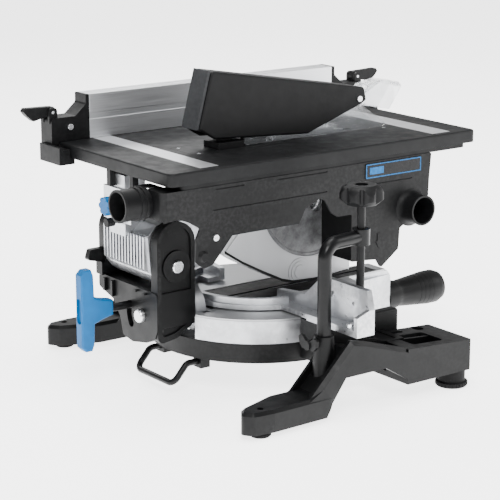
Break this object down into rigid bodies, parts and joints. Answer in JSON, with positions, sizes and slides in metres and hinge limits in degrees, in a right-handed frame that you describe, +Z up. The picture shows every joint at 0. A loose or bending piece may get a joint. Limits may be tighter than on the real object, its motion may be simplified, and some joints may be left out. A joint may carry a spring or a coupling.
{
  "type": "combination mitre saw with upper saw table",
  "caption": "Benchtop mitre saw whose head carries a flat saw table above the blade, with a mitre turntable, bevel arm, rip fence, blade guards and hold-down clamp.",
  "frame": {"origin": "on the floor plane, midway between the two rear bench holes; the turntable's swivel axis is 160 mm further towards the operator", "axes": "+X towards the operator along the blade plane, +Y towards the motor side, +Z up; the blade lies in the plane y = 0"},
  "size_m": [0.5796, 0.484, 0.396],
  "materials": {
    "black_cast": "satin",
    "black_gloss": "gloss",
    "black_plastic": "satin",
    "silver_cast": "satin",
    "machined_top": "satin",
    "aluminium": "brushed",
    "steel": "brushed",
    "zinc": "satin",
    "dark_steel": "satin",
    "blue_plastic": "satin",
    "grey_plastic": "satin",
    "rubber": "matte",
    "clear_plastic": "gloss",
    "dust_grey": "satin",
    "badge": "gloss"
  },
  "bodies": {
    "base": {"base_casting": "black_cast", "rubber_feet": "rubber", "anti_tip_bar": "dark_steel", "mitre_fence": "silver_cast", "fence_bolts": "zinc"},
    "turntable": {"turntable": "silver_cast", "turntable_top": "machined_top", "kerf_plate": "black_plastic", "kerf_screws": "zinc"},
    "mitre_grip": {"mitre_grip": "black_plastic", "mitre_clamp_screw": "steel"},
    "bevel_lock": {"bevel_lock_handle": "blue_plastic", "bevel_lock_shaft": "dark_steel"},
    "bevel_arm": {"bevel_arm": "black_cast", "bevel_bolt": "zinc", "head_pivot_pin": "zinc"},
    "head": {"head_arm": "silver_cast", "motor_housing": "black_plastic", "motor_end_cap": "black_plastic", "side_cover": "black_plastic", "left_dust_port": "black_plastic", "right_dust_port": "black_plastic", "badge_plate": "badge", "cover_screw": "zinc", "riving_knife": "dark_steel", "knife_holder": "dark_steel", "upper_table": "black_gloss", "table_insert": "black_gloss", "insert_screws": "zinc", "scale_strips": "aluminium", "guard_base_block": "black_plastic"},
    "rear_knob": {"rear_knob": "blue_plastic"},
    "small_knob": {"small_knob": "black_plastic"},
    "blade": {"saw_blade": "steel", "outer_flange": "steel", "spindle": "steel", "arbor_bolt": "zinc"},
    "lower_guard": {"lower_guard": "clear_plastic", "lower_guard_rim": "black_plastic", "guard_disc": "dust_grey", "guard_roller": "clear_plastic"},
    "upper_guard": {"guard_cover": "black_plastic", "guard_rear_strip": "grey_plastic", "guard_flaps": "clear_plastic", "guard_nose_pin": "zinc", "guard_pivot_pin": "steel"},
    "visor": {"guard_visor": "clear_plastic"},
    "rip_fence": {"fence_rail": "aluminium", "left_fence_bracket": "black_plastic", "right_fence_bracket": "black_plastic", "fence_bracket_screws": "zinc", "lever_pins": "steel"},
    "left_lever": {"left_cam_lever": "black_plastic"},
    "right_lever": {"right_cam_lever": "black_plastic"},
    "left_jaw": {"left_clamp_jaw": "black_plastic"},
    "right_jaw": {"right_clamp_jaw": "black_plastic"},
    "clamp_arm": {"clamp_arm": "dark_steel"},
    "clamp_pad": {"clamp_pad": "rubber"},
    "clamp_screw": {"clamp_knob": "black_plastic"},
    "wing_screw": {"clamp_wing_screw": "black_plastic"}
  },
  "joints": [
    {"name": "mitre_swivel", "type": "hinge", "parent": "base", "child": "turntable", "pos_m": [0.16, 0, 0.069], "axis": [0, 0, 1], "range_deg": [-35, 22]},
    {"name": "mitre_clamp_turn", "type": "hinge", "parent": "turntable", "child": "mitre_grip", "pos_m": [0.425, 0, 0.056], "axis": [1, 0, 0], "continuous": true},
    {"name": "bevel_lock_turn", "type": "hinge", "parent": "turntable", "child": "bevel_lock", "pos_m": [-0.078, 0.028, 0.105], "axis": [1, 0, 0], "range_deg": [0, 90]},
    {"name": "bevel_tilt", "type": "hinge", "parent": "turntable", "child": "bevel_arm", "pos_m": [0.012, 0, 0.097], "axis": [1, 0, 0], "range_deg": [0, 12]},
    {"name": "head_chop", "type": "hinge", "parent": "bevel_arm", "child": "head", "pos_m": [0.012, 0.032, 0.162], "axis": [0, -1, 0], "range_deg": [0, 30]},
    {"name": "blade_spin", "type": "hinge", "parent": "head", "child": "blade", "pos_m": [0.238, 0, 0.212], "axis": [0, 1, 0], "continuous": true},
    {"name": "lower_guard_swing", "type": "hinge", "parent": "head", "child": "lower_guard", "pos_m": [0.238, 0, 0.212], "axis": [0, -1, 0], "range_deg": [0, 13]},
    {"name": "guard_lift", "type": "hinge", "parent": "head", "child": "upper_guard", "pos_m": [0.106, 0, 0.314], "axis": [0, -1, 0], "range_deg": [0, 12]},
    {"name": "visor_swing", "type": "hinge", "parent": "upper_guard", "child": "visor", "pos_m": [0.311, 0, 0.338], "axis": [0, -1, 0], "range_deg": [-18, 0]},
    {"name": "fence_slide", "type": "slide", "parent": "head", "child": "rip_fence", "axis": [0, 1, 0], "range_m": [-0.105, 0.008]},
    {"name": "left_lever_turn", "type": "hinge", "parent": "rip_fence", "child": "left_lever", "pos_m": [-0.051, 0.156, 0.334], "axis": [0, 1, 0], "range_deg": [0, 90]},
    {"name": "right_lever_turn", "type": "hinge", "parent": "rip_fence", "child": "right_lever", "pos_m": [0.448, 0.156, 0.334], "axis": [0, -1, 0], "range_deg": [0, 90]},
    {"name": "left_jaw_slide", "type": "slide", "parent": "rip_fence", "child": "left_jaw", "axis": [0, 0, 1], "range_m": [-0.0028, 0]},
    {"name": "right_jaw_slide", "type": "slide", "parent": "rip_fence", "child": "right_jaw", "axis": [0, 0, 1], "range_m": [-0.0028, 0]},
    {"name": "rear_knob_turn", "type": "hinge", "parent": "head", "child": "rear_knob", "pos_m": [-0.0425, 0.032, 0.234], "axis": [1, 0, 0], "continuous": true},
    {"name": "small_knob_turn", "type": "hinge", "parent": "head", "child": "small_knob", "pos_m": [-0.0425, 0.032, 0.213], "axis": [1, 0, 0], "continuous": true},
    {"name": "clamp_swivel", "type": "hinge", "parent": "base", "child": "clamp_arm", "pos_m": [0.11, -0.2, 0.097], "axis": [0, 0, 1], "range_deg": [-24, 8]},
    {"name": "clamp_feed", "type": "slide", "parent": "clamp_arm", "child": "clamp_pad", "axis": [0, 0, 1], "range_m": [-0.02, 0]},
    {"name": "clamp_screw_turn", "type": "hinge", "parent": "clamp_pad", "child": "clamp_screw", "pos_m": [0.172, -0.192, 0.258], "axis": [0, 0, 1], "range_deg": [-1800.5, 0.5]},
    {"name": "wing_screw_turn", "type": "hinge", "parent": "base", "child": "wing_screw", "pos_m": [0.09, -0.2, 0.089], "axis": [1, 0, 0], "continuous": true}
  ],
  "couplings": [
    {"joint": "left_lever_turn", "follows": "left_jaw_slide", "rad_per_m": -560},
    {"joint": "right_lever_turn", "follows": "right_jaw_slide", "rad_per_m": -560},
    {"joint": "clamp_screw_turn", "follows": "clamp_feed", "rad_per_m": 1570.8}
  ]
}
